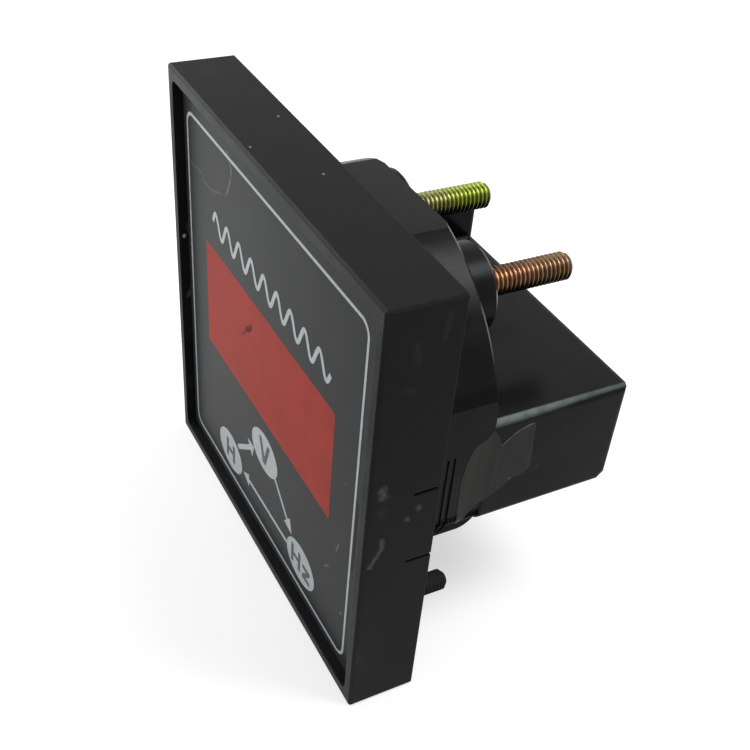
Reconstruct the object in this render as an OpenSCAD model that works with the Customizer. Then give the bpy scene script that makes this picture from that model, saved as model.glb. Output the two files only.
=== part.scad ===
// Square panel meter: a snap-on bezel over a round drum body, a boxed rear case and two stud terminals.
// X runs right as seen from the front, Y runs rearwards and Z runs up. The origin is the centre of the
// face that lies against the panel. All sizes are in millimetres.

/* [Bezel] */
// Outer width and height of the square bezel
bezel_w = 65; // [62:1:80]
// Depth of the bezel in front of the panel
bezel_depth = 9.7; // [9:0.1:14]
// Width of the raised lip round the face, and thickness of the skirt behind it
lip_w = 1.7; // [1.4:0.1:2.2]
// Depth of the recess inside the lip
recess_d = 1.5; // [1:0.1:2.5]
// Thickness of the front panel behind the label
panel_t = 1.5; // [1.2:0.1:2]
// Size of the chamfer along the outer edges
edge_break = 0.35; // [0.2:0.05:0.8]
// Width of each snap tab in the side skirts
tab_w = 11; // [8:0.1:16]
// Distance of the snap tabs' middle below the middle of the bezel
tab_down = 0.4; // [0:0.1:2]
// Length of the slots that free a snap tab
tab_len = 3.7; // [3:0.1:5]
// Width of the slots that free a snap tab
slot_w = 0.45; // [0.3:0.05:1]

/* [Face] */
// Thickness of the printed face label
label_t = 0.25; // [0.1:0.05:0.5]
// Width of the display window
window_w = 42; // [38:1:48]
// Height of the display window
window_h = 17.2; // [15:0.1:22]
// Height of the window's centre above the middle of the face
window_up = 2; // [-2:0.5:6]
// How far the lens's hidden rim laps behind the front panel
lens_lap = 1.6; // [1:0.1:2.5]
// Thickness of the lens's hidden rim
lens_rim_t = 1; // [0.8:0.1:1.5]

/* [Drum] */
// Diameter of the drum that passes through the panel
drum_d = 54.6; // [50:0.1:58]
// Depth of the drum behind the panel face
drum_depth = 12.1; // [11:0.1:18]
// Wall of the drum and of its rear end
drum_wall = 1.8; // [1.4:0.1:2.2]
// Height of the flat on top of the drum above its centre
drum_top = 25.5; // [24:0.1:28]
// Distance of the flat sides from the centre, shared with the rear case
side_flat = 25.2; // [23:0.1:26]
// Thickness of the flange that fills the back of the bezel
flange_t = 2.2; // [1.8:0.1:3]
// Diameter of the two locating posts
post_d = 3; // [2:0.1:3.5]
// Length of the locating posts behind the panel face
post_len = 8.7; // [5:0.1:12]
// Distance of each locating post from the middle
post_out = 24.4; // [23:0.1:26]
// Distance of the locating posts below the middle
post_down = 22.8; // [21:0.1:25]

/* [Stud terminals] */
// Diameter of the terminal studs
stud_d = 4; // [3:0.5:5]
// Distance between the two studs
stud_spacing = 21; // [16:0.5:26]
// Height of the studs above the middle of the drum
stud_up = 16.25; // [15:0.05:17]
// Length of stud that stands out of its boss
stud_out = 14.8; // [8:0.1:20]
// Diameter of the boss round each stud
boss_d = 12.4; // [11:0.1:13]
// Height of the stud bosses above the drum's rear end
boss_h = 4.2; // [2:0.1:6]

/* [Rear case] */
// Length of the rear case behind the drum
case_len = 21.6; // [21:0.1:30]
// Height of the case's top above the middle
case_top = 5.3; // [5:0.1:7]
// Depth of the case's underside where it meets the drum
case_front_drop = 12; // [11:0.1:14]
// Depth of the case's underside at its rear end
case_rear_drop = 11.6; // [10:0.1:12]
// Wall of the case
case_wall = 1.6; // [1.2:0.1:2]
// Width of the raised rail on the left of the case
rail_w = 5.5; // [5:0.1:7]
// Height of the raised rail above the case's top
rail_h = 5.1; // [3:0.1:6]
// Distance of the rail's inner face from the middle
rail_in = 16.3; // [14:0.1:17]

/* [Electronics] */
// Thickness of both circuit boards
pcb_t = 1.6; // [1:0.1:2]
// Depth of the digit display
display_d = 8; // [7:0.1:9]
// Width of the digit display
display_w = 37.6; // [30:0.1:38]
// Height of the digit display
display_h = 19; // [14:0.1:20]
// Outer diameter of a lead wire
lead_d = 1.2; // [0.8:0.1:1.6]

/* [Hidden] */
$fn = 48;

// Clearances
fit_gap = 0.1;
slide_gap = 0.05;
eps = 0.01;

// Levels along Y, from the front to the rear
front_y = -bezel_depth;
label_y = front_y + recess_d;
panel_y = label_y + label_t;
panel_back_y = panel_y + panel_t;
lens_back_y = panel_back_y + lens_rim_t;
display_y = lens_back_y + 0.3;
board_y = display_y + display_d;
board_back_y = board_y + pcb_t;
drum_floor_y = drum_depth - drum_wall;
boss_y = drum_depth + boss_h;
stud_tip_y = boss_y + stud_out;
case_back_y = drum_depth + case_len;
case_floor_y = case_back_y - case_wall;

// Bezel
face_w = bezel_w - 2 * lip_w;
seat_step = 1.2;
flange_w = face_w - 2 * fit_gap;
face_corner_r = 1.2;
label_gap = 0.15;
lens_frame_t = 0.8;
catch_out = 0.4;
catch_y0 = -0.8 * flange_t;
catch_y1 = -0.35 * flange_t;
catch_w = 0.7 * tab_w;

// Drum
drum_r = drum_d / 2;
drum_in_r = drum_r - drum_wall;
side_in = side_flat - drum_wall;
rim_break = 0.5;
ledge_up = case_top - 0.3;
ledge_out = 0.4;
groove_count = 7;
groove_pitch = 1;
groove_w = 0.5;
groove_deep = 0.35;
groove_first_y = 0.8;
groove_top = 1.3;
groove_bottom = -13.5;
post_round = 0.6;

// Studs, lugs and leads
stud_x = stud_spacing / 2;
stud_break = 0.5;
shank_less = 0.25;
head_flats = 7;
head_corner_r = head_flats / 2 / cos(30);
head_h = 2.8;
lug_t = 0.5;
lug_r = 3.4;
lug_tail_w = 2;
barrel_r = 0.95;
barrel_len = 2.2;
pocket_wall = 1.5;
head_y = drum_floor_y - lug_t;
lead_r = lead_d / 2;
barrel_y = drum_floor_y - barrel_r - slide_gap;
barrel_z = stud_up - head_flats / 2 - pocket_wall - barrel_len - 2.4;
lead_bend = 1.6;
lead_run_z = case_top - case_wall - lead_r - 0.7;
lead_land_y = drum_depth + 2.1;

// Rear case
case_corner = 1.8;
case_edge = 0.8;
port_top = lead_run_z + lead_r + 0.4;
port_bottom = -case_rear_drop + case_wall;
port_half_w = 17;
case_screw_x = side_in - 2.4;
case_screw_z = 0.4;
case_boss_r = 2.4;
case_boss_len = 8;

// Circuit boards
board_gap = 0.6;
power_z = -case_rear_drop + case_wall + 1.8;
power_top_z = power_z + pcb_t;
power_half_w = side_flat - case_wall - 0.6;
power_y0 = drum_depth + 0.3;
power_y1 = case_floor_y - 0.3;
ledge_w = 1.4;
ledge_h = 1;
pin_r = 0.3;
hole_r = 0.45;
tail = 0.9;
standoff_r = 2.5;
standoff_x = side_in - 5.4;
standoff_up = stud_up - 2.55;
standoff_low_x = drum_in_r - 9.7;
standoff_down = drum_in_r - 9.5;
standoffs = [[-standoff_x, standoff_up], [standoff_x, standoff_up],
    [-standoff_low_x, -standoff_down], [standoff_low_x, -standoff_down]];
pin_pitch = 2.54;
display_row = 7.62;
display_pins = 6;
link_pins = 4;
link_body = 2.5;
link_z = power_top_z + link_body / 2;

// Self-tapping screws
screw_r = 0.95;
screw_head_r = 1.9;
screw_head_h = 1.3;
screw_grip = 5;

// A solid drawn in the XZ plane, from y0 to y1
module along_y(y0, y1) {
    translate([0, y1, 0]) rotate([90, 0, 0]) linear_extrude(y1 - y0) children();
}

// A solid drawn in the YZ plane, from x0 to x1
module along_x(x0, x1) {
    translate([x0, 0, 0]) rotate([90, 0, 90]) linear_extrude(x1 - x0) children();
}

// A round rod along Y at x, z
module rod(r, y0, y1, x = 0, z = 0) {
    translate([x, y0, z]) rotate([-90, 0, 0]) cylinder(r = r, h = y1 - y0);
}

// A cone along Y at x, z, from radius r0 at y0 to radius r1 at y1
module cone(r0, r1, y0, y1, x = 0, z = 0) {
    translate([x, y0, z]) rotate([-90, 0, 0]) cylinder(r1 = r0, r2 = r1, h = y1 - y0);
}

// A block between two corners
module block(low, high) {
    translate(low) cube(high - low);
}

// A square or rectangle with its corners cut at 45 degrees
module cut_rect(w, h, c) {
    polygon([[-w / 2 + c, -h / 2], [w / 2 - c, -h / 2], [w / 2, -h / 2 + c], [w / 2, h / 2 - c],
        [w / 2 - c, h / 2], [-w / 2 + c, h / 2], [-w / 2, h / 2 - c], [-w / 2, -h / 2 + c]]);
}

// A rectangle with round corners
module round_rect(w, h, r) {
    square([w - 2 * r, h], center = true);
    square([w, h - 2 * r], center = true);
    for (x = [-1, 1], z = [-1, 1])
        translate([x * (w / 2 - r), z * (h / 2 - r)]) circle(r);
}

// The outer form of the bezel, chamfered along its front and its four corners
module bezel_form() {
    half = bezel_w / 2;
    intersection() {
        along_y(front_y, 0) cut_rect(bezel_w, bezel_w, edge_break);
        along_x(-half, half) polygon([[0, -half], [0, half], [front_y + edge_break, half],
            [front_y, half - edge_break], [front_y, -half + edge_break],
            [front_y + edge_break, -half]]);
        translate([0, 0, -half]) linear_extrude(bezel_w) polygon([[-half, 0], [half, 0],
            [half, front_y + edge_break], [half - edge_break, front_y],
            [-half + edge_break, front_y], [-half, front_y + edge_break]]);
    }
}

// The wedge on each side of the flange, grown by a clearance for the groove that takes it
module catch_wedges(grow) {
    for (side = [0, 1]) mirror([side, 0, 0])
        translate([0, 0, -tab_down - catch_w / 2 - grow]) linear_extrude(catch_w + 2 * grow)
            polygon([[flange_w / 2 - eps, catch_y0 - grow], [flange_w / 2 + catch_out + grow,
                catch_y1 - grow], [flange_w / 2 + catch_out + grow, catch_y1 + grow],
                [flange_w / 2 - eps, catch_y1 + grow]]);
}

module front_bezel() {
    hollow_w = face_w - 2 * seat_step;
    color([0.13, 0.135, 0.14]) difference() {
        union() {
            difference() {
                bezel_form();
                along_y(front_y - 1, panel_y) round_rect(face_w, face_w, face_corner_r);
                along_y(panel_back_y, 1) square(hollow_w, center = true);
                along_y(-flange_t, 1) square(face_w, center = true);
            }
            lens_frame();
        }
        window_opening(window_w, window_h, panel_y - 1, panel_back_y + 1);
        catch_wedges(fit_gap);
        for (side = [-1, 1], end = [-1, 1])
            translate([side * bezel_w / 2, -tab_len / 2 + 0.5, end * (tab_w + slot_w) / 2 - tab_down])
                cube([2 * (lip_w + seat_step) + 1, tab_len + 1, slot_w], center = true);
    }
}

// The low wall behind the front panel that the lens drops into
module lens_frame() {
    rim_w = window_w + 2 * (lens_lap + fit_gap);
    rim_h = window_h + 2 * (lens_lap + fit_gap);
    difference() {
        window_opening(rim_w + 2 * lens_frame_t, rim_h + 2 * lens_frame_t,
            panel_back_y, lens_back_y);
        window_opening(rim_w, rim_h, panel_back_y, lens_back_y + 1);
    }
}

// A block of any width and height centred on the window
module window_opening(w, h, y0, y1) {
    block([-w / 2, y0, window_up - h / 2], [w / 2, y1, window_up + h / 2]);
}

module face_label() {
    label_w = face_w - 2 * label_gap;
    color([0.3, 0.31, 0.31]) difference() {
        along_y(label_y, panel_y) round_rect(label_w, label_w, face_corner_r - label_gap);
        window_opening(window_w, window_h, label_y - 1, panel_y + 1);
    }
}

module window_lens() {
    color([0.6, 0.22, 0.2]) {
        window_opening(window_w - 2 * slide_gap, window_h - 2 * slide_gap,
            label_y + slide_gap, panel_back_y);
        window_opening(window_w + 2 * lens_lap, window_h + 2 * lens_lap,
            panel_back_y, lens_back_y);
    }
}

// The drum's outer form: a chamfered disc cut by a flat top and by flat sides, which step
// out by a narrow ledge above the level of the rear case
module drum_form(grow, y0, y1) {
    intersection() {
        union() {
            rod(drum_r + grow, y0, y1 - rim_break);
            cone(drum_r + grow, drum_r + grow - rim_break, y1 - rim_break, y1);
        }
        union() {
            block([-side_flat - ledge_out - grow, y0, ledge_up],
                [side_flat + ledge_out + grow, y1, drum_top + grow]);
            block([-side_flat - grow, y0, -drum_r - grow],
                [side_flat + grow, y1, ledge_up]);
        }
    }
}

module drum_cavity() {
    intersection() {
        rod(drum_in_r, -flange_t - 1, drum_floor_y);
        block([-side_in, -flange_t - 1, -drum_r], [side_in, drum_floor_y, drum_top - drum_wall]);
    }
}

// Fine upright grooves, which leave grip ribs between them low on both sides of the drum
module grip_grooves() {
    difference() {
        for (side = [0, 1], i = [0 : groove_count - 1]) mirror([side, 0, 0])
            block([drum_r / 2, groove_first_y + i * groove_pitch - groove_w / 2, groove_bottom],
                [drum_r + 1, groove_first_y + i * groove_pitch + groove_w / 2, groove_top]);
        drum_form(-groove_deep, -1, drum_depth + 1);
    }
}

module stud_boss(x) {
    rod(boss_d / 2, drum_depth, boss_y - rim_break, x, stud_up);
    cone(boss_d / 2, boss_d / 2 - rim_break, boss_y - rim_break, boss_y, x, stud_up);
}

// The outline of the pockets for the studs' six-sided heads
module head_pockets() {
    for (side = [-1, 1]) translate([side * stud_x, stud_up])
        rotate(30) circle(head_corner_r + fit_gap, $fn = 6);
}

// The collar inside the drum whose pocket keeps a stud's head from turning, with a slot below
// for the lug's tail
module stud_pocket(x) {
    slot = lug_tail_w + 2 * fit_gap;
    along_y(head_y - head_h, drum_floor_y) difference() {
        translate([x, stud_up]) circle(head_corner_r + pocket_wall);
        head_pockets();
        translate([x - slot / 2, stud_up - 2 * head_corner_r]) square([slot, 1.25 * head_corner_r]);
    }
}

// A post for one of the display board's screws, kept clear of the studs' heads
module standoff(p) {
    along_y(board_back_y, drum_floor_y) difference() {
        translate(p) circle(standoff_r);
        head_pockets();
    }
}

module locating_post(x) {
    rod(post_d / 2, 0, post_len - post_round, x, -post_down);
    cone(post_d / 2, post_d / 2 - post_round, post_len - post_round, post_len, x, -post_down);
}

module drum_housing() {
    color([0.12, 0.125, 0.12]) difference() {
        union() {
            difference() {
                union() {
                    along_y(-flange_t, 0) cut_rect(flange_w, flange_w, edge_break);
                    catch_wedges(0);
                    drum_form(0, 0, drum_depth);
                }
                grip_grooves();
                drum_cavity();
            }
            for (side = [-1, 1]) {
                stud_boss(side * stud_x);
                stud_pocket(side * stud_x);
                locating_post(side * post_out);
            }
            for (p = standoffs) standoff(p);
        }
        block([-port_half_w, drum_floor_y - 1, port_bottom], [port_half_w, drum_depth + 1, port_top]);
        for (side = [-1, 1]) {
            rod(stud_d / 2 + slide_gap, drum_floor_y - 1, boss_y + 1, side * stud_x, stud_up);
            rod(screw_r + fit_gap, drum_floor_y - 1, drum_depth + 1, side * case_screw_x,
                case_screw_z);
        }
        for (p = standoffs)
            rod(screw_r + slide_gap, board_back_y - 1, board_back_y + screw_grip + 0.5, p[0], p[1]);
    }
}

// The case's side view, shrunk by t on every side but the front
module case_profile(t) {
    polygon([[drum_depth, case_top - t], [drum_depth, -case_front_drop + t],
        [case_back_y - case_corner, -case_rear_drop + t],
        [case_back_y - t, -case_rear_drop + max(t, case_corner)], [case_back_y - t, case_top - t]]);
}

module rear_case() {
    color([0.13, 0.13, 0.13]) difference() {
        union() {
            difference() {
                union() {
                    case_shell();
                    rail_block(0);
                }
                along_x(-side_flat + case_wall, side_flat - case_wall) case_profile(case_wall);
                rail_block(case_wall);
            }
            board_ledges();
            for (side = [-1, 1]) case_boss(side * case_screw_x);
        }
        for (side = [-1, 1])
            rod(screw_r + slide_gap, drum_depth - 1, drum_depth + case_boss_len - 1,
                side * case_screw_x, case_screw_z);
    }
}

// The case's outside, with its top and rear edges broken
module case_shell() {
    tall = case_top + case_front_drop;
    intersection() {
        along_x(-side_flat, side_flat) case_profile(0);
        along_y(drum_depth, case_back_y) translate([0, case_top - tall / 2])
            cut_rect(2 * side_flat, tall, case_edge);
        translate([0, 0, -case_front_drop]) linear_extrude(tall) polygon([
            [-side_flat, drum_depth], [side_flat, drum_depth],
            [side_flat, case_back_y - case_edge / 2], [side_flat - case_edge / 2, case_back_y],
            [-side_flat + case_edge / 2, case_back_y], [-side_flat, case_back_y - case_edge / 2]]);
    }
}

// The raised rail on the case's top, or its core where t is the wall
module rail_block(t) {
    block([-rail_in - rail_w + t, drum_depth, t > 0 ? 0 : case_top - eps],
        [-rail_in - t, case_back_y - t, case_top + rail_h - t]);
}

// Ledges above and below the power board's two side edges
module board_ledges() {
    for (side = [0, 1], z = [power_z - ledge_h - slide_gap, power_top_z + slide_gap])
        mirror([side, 0, 0]) block([side_flat - case_wall - ledge_w, power_y0, z],
            [side_flat - case_wall + eps, case_floor_y + eps, z + ledge_h]);
}

// The screw boss inside the case, joined to its side wall
module case_boss(x) {
    rod(case_boss_r, drum_depth, drum_depth + case_boss_len, x, case_screw_z);
    wall_x = sign(x) * (side_flat - case_wall + eps);
    block([min(x, wall_x), drum_depth, case_screw_z - case_boss_r],
        [max(x, wall_x), drum_depth + case_boss_len, case_screw_z + case_boss_r]);
}

// A torn piece of thin tape that bridges the seam between the drum and the case
module seam_tape() {
    tape_t = 0.12;
    color([0.3, 0.31, 0.3]) along_x(side_flat, side_flat + tape_t) polygon([
        [drum_depth + 6.4, 3.6], [drum_depth + 7.2, -5.5], [drum_depth + 4.6, -5.8],
        [drum_depth + 3.1, -7.5], [drum_depth - 0.3, -9.4], [drum_depth - 3.2, -10.4],
        [drum_depth - 3.6, -3.7], [drum_depth - 2.6, 0.5], [drum_depth - 0.6, 3.2],
        [drum_depth + 0.1, 4.5], [drum_depth + 1.5, 2.2], [drum_depth + 2.2, 1.3]]);
}

// A bolt put through from inside the drum: a six-sided head, a reduced plain shank through the
// boss, and behind it a rod of the thread's outer diameter
module terminal_stud(x) {
    color([0.72, 0.6, 0.3]) {
        translate([x, head_y - head_h, stud_up]) rotate([-90, 0, 0]) rotate(30)
            cylinder(r = head_corner_r, h = head_h, $fn = 6);
        rod(stud_d / 2 - shank_less, head_y - eps, boss_y, x, stud_up);
        rod(stud_d / 2, boss_y, stud_tip_y - stud_break, x, stud_up);
        cone(stud_d / 2, stud_d / 2 - stud_break, stud_tip_y - stud_break, stud_tip_y, x, stud_up);
    }
}

module solder_lug(x) {
    color([0.78, 0.76, 0.7]) difference() {
        union() {
            rod(lug_r, head_y, drum_floor_y, x, stud_up);
            block([x - lug_tail_w / 2, head_y, barrel_z + barrel_len / 2],
                [x + lug_tail_w / 2, drum_floor_y, stud_up]);
            translate([x, barrel_y, barrel_z]) cylinder(r = barrel_r, h = barrel_len);
        }
        rod(stud_d / 2 + slide_gap, head_y - 1, drum_floor_y + 1, x, stud_up);
        translate([x, barrel_y, barrel_z - 1]) cylinder(r = lead_r + slide_gap, h = barrel_len + 2);
    }
}

// A quarter turn of wire in the YZ plane, about the X axis
module wire_bend() {
    rotate([90, 0, 90]) rotate_extrude(angle = 90) translate([lead_bend, 0]) circle(lead_r);
}

// A lead from its lug down, back through the drum's port and down to the power board
module lead_wire(x, tint) {
    turn_y = barrel_y + lead_bend;
    drop_y = lead_land_y - lead_bend;
    color(tint) {
        translate([x, barrel_y, lead_run_z + lead_bend])
            cylinder(r = lead_r, h = barrel_z + barrel_len - lead_run_z - lead_bend);
        translate([x, turn_y, lead_run_z + lead_bend]) rotate([180, 0, 0]) wire_bend();
        rod(lead_r, turn_y, drop_y, x, lead_run_z);
        translate([x, drop_y, lead_run_z - lead_bend]) wire_bend();
        translate([x, lead_land_y, power_top_z])
            cylinder(r = lead_r, h = lead_run_z - lead_bend - power_top_z);
    }
}

// One segment of a digit, drawn lengthwise along X
module segment(len, wide) {
    polygon([[-len / 2, 0], [-len / 2 + wide / 2, wide / 2], [len / 2 - wide / 2, wide / 2],
        [len / 2, 0], [len / 2 - wide / 2, -wide / 2], [-len / 2 + wide / 2, -wide / 2]]);
}

module digit_display() {
    digits = 3;
    digit_pitch = display_w / digits;
    seg_w = 1.5;
    seg_l = 6.4;
    color([0.75, 0.73, 0.7]) difference() {
        window_opening(display_w, display_h, display_y, board_y);
        for (d = [0 : digits - 1]) along_y(display_y - 1, display_y + 0.3)
            translate([(d - (digits - 1) / 2) * digit_pitch, window_up]) {
                for (k = [-1, 0, 1]) translate([0, k * seg_l]) segment(seg_l - 0.4, seg_w);
                for (k = [-1, 1], s = [-1, 1])
                    translate([s * seg_l / 2, k * seg_l / 2]) rotate(90) segment(seg_l - 0.4, seg_w);
            }
    }
    color([0.8, 0.8, 0.8]) display_pin_rods(pin_r, board_y - eps, board_back_y + tail);
}

module display_pin_rods(r, y0, y1) {
    for (row = [-1, 1], i = [0 : display_pins - 1])
        rod(r, y0, y1, (i - (display_pins - 1) / 2) * pin_pitch, window_up + row * display_row);
}

// Square pins that join the two boards, grown for their holes
module link_pin_bars(grow, y0, y1) {
    for (i = [0 : link_pins - 1]) {
        x = (i - link_pins / 2 + 1) * pin_pitch;
        block([x - pin_r - grow, y0, link_z - pin_r - grow],
            [x + pin_r + grow, y1, link_z + pin_r + grow]);
    }
}

module display_board() {
    color([0.1, 0.35, 0.2]) difference() {
        intersection() {
            rod(drum_in_r - board_gap, board_y, board_back_y);
            block([-side_in + board_gap, board_y, -drum_r],
                [side_in - board_gap, board_back_y, drum_top - drum_wall - board_gap]);
        }
        for (p = standoffs) rod(screw_r + fit_gap, board_y - 1, board_back_y + 1, p[0], p[1]);
        display_pin_rods(hole_r, board_y - 1, board_back_y + 1);
        link_pin_bars(fit_gap, board_y - 1, board_back_y + 1);
    }
}

// A flat chip on the rear of the display board, with bent leads along its two long sides
module chip(x, z, w, h, deep, leads, pitch) {
    foot = 1.4;
    color([0.12, 0.12, 0.12])
        block([x - w / 2, board_back_y + 0.1, z - h / 2], [x + w / 2, board_back_y + deep, z + h / 2]);
    color([0.75, 0.75, 0.75]) for (side = [0, 1], i = [0 : leads - 1])
        translate([x + (i - (leads - 1) / 2) * pitch - 0.2, 0, z]) mirror([0, 0, side])
            along_x(0, 0.4) polygon([[board_back_y + deep / 2 + 0.2, h / 2 - eps],
                [board_back_y + deep / 2 + 0.2, h / 2 + 0.6], [board_back_y + 0.2, h / 2 + 0.6],
                [board_back_y + 0.2, h / 2 + foot], [board_back_y, h / 2 + foot],
                [board_back_y, h / 2 + 0.35], [board_back_y + deep / 2, h / 2 + 0.35],
                [board_back_y + deep / 2, h / 2 - eps]]);
}

module microcontroller() {
    chip(0, window_up + 1.2, 17.9, 7.5, 2.4, 14, 1.27);
}

module memory_chip() {
    chip(-11, -9.5, 4.9, 3.9, 1.6, 4, 1.27);
}

module clock_crystal() {
    color([0.8, 0.8, 0.82]) along_y(board_back_y, board_back_y + 3.5)
        translate([8, -11.5]) round_rect(11, 4.6, 2.2);
}

module trim_potentiometer() {
    x = 13.5;
    z = -4.5;
    size = 6.6;
    screw_y = board_back_y + 4.6;
    color([0.15, 0.3, 0.6]) block([x - size / 2, board_back_y, z - size / 2],
        [x + size / 2, board_back_y + 4, z + size / 2]);
    color([0.85, 0.8, 0.6]) difference() {
        rod(1.8, board_back_y + 4 - eps, screw_y, x, z);
        block([x - 2, screw_y - 0.4, z - 0.3], [x + 2, screw_y + 1, z + 0.3]);
    }
}

module board_link_header() {
    strip_w = link_pins * pin_pitch;
    middle = pin_pitch / 2;
    color([0.1, 0.1, 0.1]) block([middle - strip_w / 2, power_y0, power_top_z],
        [middle + strip_w / 2, power_y0 + link_body, power_top_z + link_body]);
    color([0.8, 0.75, 0.5]) link_pin_bars(0, board_y + 0.2, power_y0 + eps);
}

// Sizes of the parts on the power board, and their places from its edges
dropper_size = [18, 11, 5];
smoothing_r = 3.15;
smoothing_len = 11;
bridge_size = [8.5, 6.2, 3.3];
varistor_r = 3.4;
varistor_t = 3.5;
resistor_r = 1.4;
resistor_len = 7;
dropper_at = [12 - power_half_w, power_y1 - dropper_size[1] / 2 - 0.3];
smoothing_at = [power_half_w - 14, power_y1 - smoothing_r - 1.05];
bridge_at = [8, power_y0 + 7];
varistor_at = [7 - power_half_w, power_y0 + 4.2];
resistor_at = [13.6 - power_half_w, power_y0 + 5.8];
regulator_at = [power_half_w - 5.6, power_y0 + 10.6];
dropper_pins = [for (s = [-1, 1]) dropper_at + [s * 7.5, 0]];
smoothing_pins = [for (s = [-1, 1]) smoothing_at + [-smoothing_len / 2 - 0.8, s * 1.25]];
bridge_pins = [for (s = [-1, 1], t = [-1, 1]) bridge_at + [s * 2.54, t * 2.4]];
varistor_pins = [for (s = [-1, 1]) varistor_at + [s * 0.8, s * 2.2]];
resistor_pins = [for (s = [-1, 1]) resistor_at + [s * (resistor_len / 2 + 0.6), 0]];
regulator_pins = [for (s = [-1, 0, 1]) regulator_at + [s * 1.27, 0]];
power_pins = concat(dropper_pins, smoothing_pins, bridge_pins, varistor_pins, resistor_pins,
    regulator_pins);

// Round leads that pass through the power board, up to height z
module board_pins(places, z) {
    for (p = places) translate([p[0], p[1], power_z - tail])
        cylinder(r = pin_r, h = z - power_z + tail);
}

module power_board() {
    color([0.12, 0.38, 0.2]) difference() {
        block([-power_half_w, power_y0, power_z], [power_half_w, power_y1, power_top_z]);
        for (p = power_pins) translate([p[0], p[1], power_z - 1])
            cylinder(r = hole_r, h = pcb_t + 2);
    }
}

module dropper_capacitor() {
    color([0.75, 0.6, 0.2]) translate([dropper_at[0], dropper_at[1], power_top_z])
        linear_extrude(dropper_size[2]) cut_rect(dropper_size[0], dropper_size[1], 0.6);
    color("silver") board_pins(dropper_pins, power_top_z + eps);
}

module smoothing_capacitor() {
    groove = 0.3;
    axis_z = power_top_z + smoothing_r;
    color([0.1, 0.12, 0.2]) translate([smoothing_at[0] - smoothing_len / 2, smoothing_at[1], axis_z])
        rotate([0, 90, 0]) rotate_extrude() polygon([[0, 0], [smoothing_r - groove, 0],
            [smoothing_r, groove], [smoothing_r, 1.2], [smoothing_r - groove, 1.6],
            [smoothing_r, 2], [smoothing_r, smoothing_len - groove],
            [smoothing_r - groove, smoothing_len], [0, smoothing_len]]);
    color("silver") {
        board_pins(smoothing_pins, axis_z);
        for (p = smoothing_pins) translate([p[0] - pin_r, p[1], axis_z]) rotate([0, 90, 0])
            cylinder(r = pin_r, h = smoothing_at[0] - smoothing_len / 2 - p[0] + pin_r + eps);
    }
}

module bridge_rectifier() {
    color([0.12, 0.12, 0.12]) translate([bridge_at[0], bridge_at[1], power_top_z])
        linear_extrude(bridge_size[2]) cut_rect(bridge_size[0], bridge_size[1], 0.3);
    color("silver") board_pins(bridge_pins, power_top_z + eps);
}

module surge_varistor() {
    foot = 0.5;
    color([0.2, 0.35, 0.65]) translate([varistor_at[0] - varistor_t / 2, varistor_at[1],
        power_top_z + foot + varistor_r]) rotate([0, 90, 0]) cylinder(r = varistor_r, h = varistor_t);
    color("silver") board_pins(varistor_pins, power_top_z + foot + varistor_r / 2);
}

module fuse_resistor() {
    body_z = power_top_z + resistor_r;
    color([0.45, 0.6, 0.55]) translate([resistor_at[0] - resistor_len / 2, resistor_at[1], body_z])
        rotate([0, 90, 0]) cylinder(r = resistor_r, h = resistor_len);
    color("silver") {
        board_pins(resistor_pins, body_z + pin_r);
        for (s = [-1, 1]) translate([resistor_at[0] + s * (resistor_len / 2 + 0.3), resistor_at[1],
            body_z]) rotate([0, 90, 0]) cylinder(r = pin_r, h = 0.6 + eps, center = true);
    }
}

module voltage_regulator() {
    body_r = 2.3;
    flat = 1.3;
    color([0.1, 0.1, 0.1]) translate([regulator_at[0], regulator_at[1], power_top_z + 1])
        difference() {
            cylinder(r = body_r, h = 4.6);
            block([-body_r - 1, flat, -1], [body_r + 1, body_r + 1, 6]);
        }
    color("silver") board_pins(regulator_pins, power_top_z + 1 + eps);
}

// A pan-head self-tapping screw along Y, its head in front of the face at y
module tapping_screw(x, z, y, grip) {
    difference() {
        rod(screw_head_r, y - screw_head_h, y, x, z);
        block([x - 1.2, y - screw_head_h - 1, z - 0.2], [x + 1.2, y - screw_head_h + 0.6, z + 0.2]);
        block([x - 0.2, y - screw_head_h - 1, z - 1.2], [x + 0.2, y - screw_head_h + 0.6, z + 1.2]);
    }
    rod(screw_r, y - eps, y + grip - screw_r, x, z);
    cone(screw_r, 0.2, y + grip - screw_r, y + grip, x, z);
}

module display_screws() {
    color("silver") for (p = standoffs) tapping_screw(p[0], p[1], board_y, pcb_t + screw_grip);
}

module case_screws() {
    color("silver") for (side = [-1, 1])
        tapping_screw(side * case_screw_x, case_screw_z, drum_floor_y, drum_wall + screw_grip);
}

front_bezel();
face_label();
window_lens();
drum_housing();
rear_case();
seam_tape();
terminal_stud(-stud_x);  // terminal_stud_left
terminal_stud(stud_x);  // terminal_stud_right
solder_lug(-stud_x);  // solder_lug_left
solder_lug(stud_x);  // solder_lug_right
lead_wire(-stud_x, "black");  // lead_wire_left
lead_wire(stud_x, "firebrick");  // lead_wire_right
digit_display();
display_board();
microcontroller();
memory_chip();
clock_crystal();
trim_potentiometer();
board_link_header();
power_board();
dropper_capacitor();
smoothing_capacitor();
bridge_rectifier();
surge_varistor();
fuse_resistor();
voltage_regulator();
display_screws();
case_screws();
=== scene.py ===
"""Looks of a square panel meter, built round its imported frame.

X runs right as seen from the front, Y runs rearwards and Z runs up. Blender works in metres; sizes of
this script's own pieces are named in millimetres and turned into metres by mm().
"""
import math

import bmesh
import bpy
from mathutils import Matrix, Vector, geometry, noise


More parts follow.
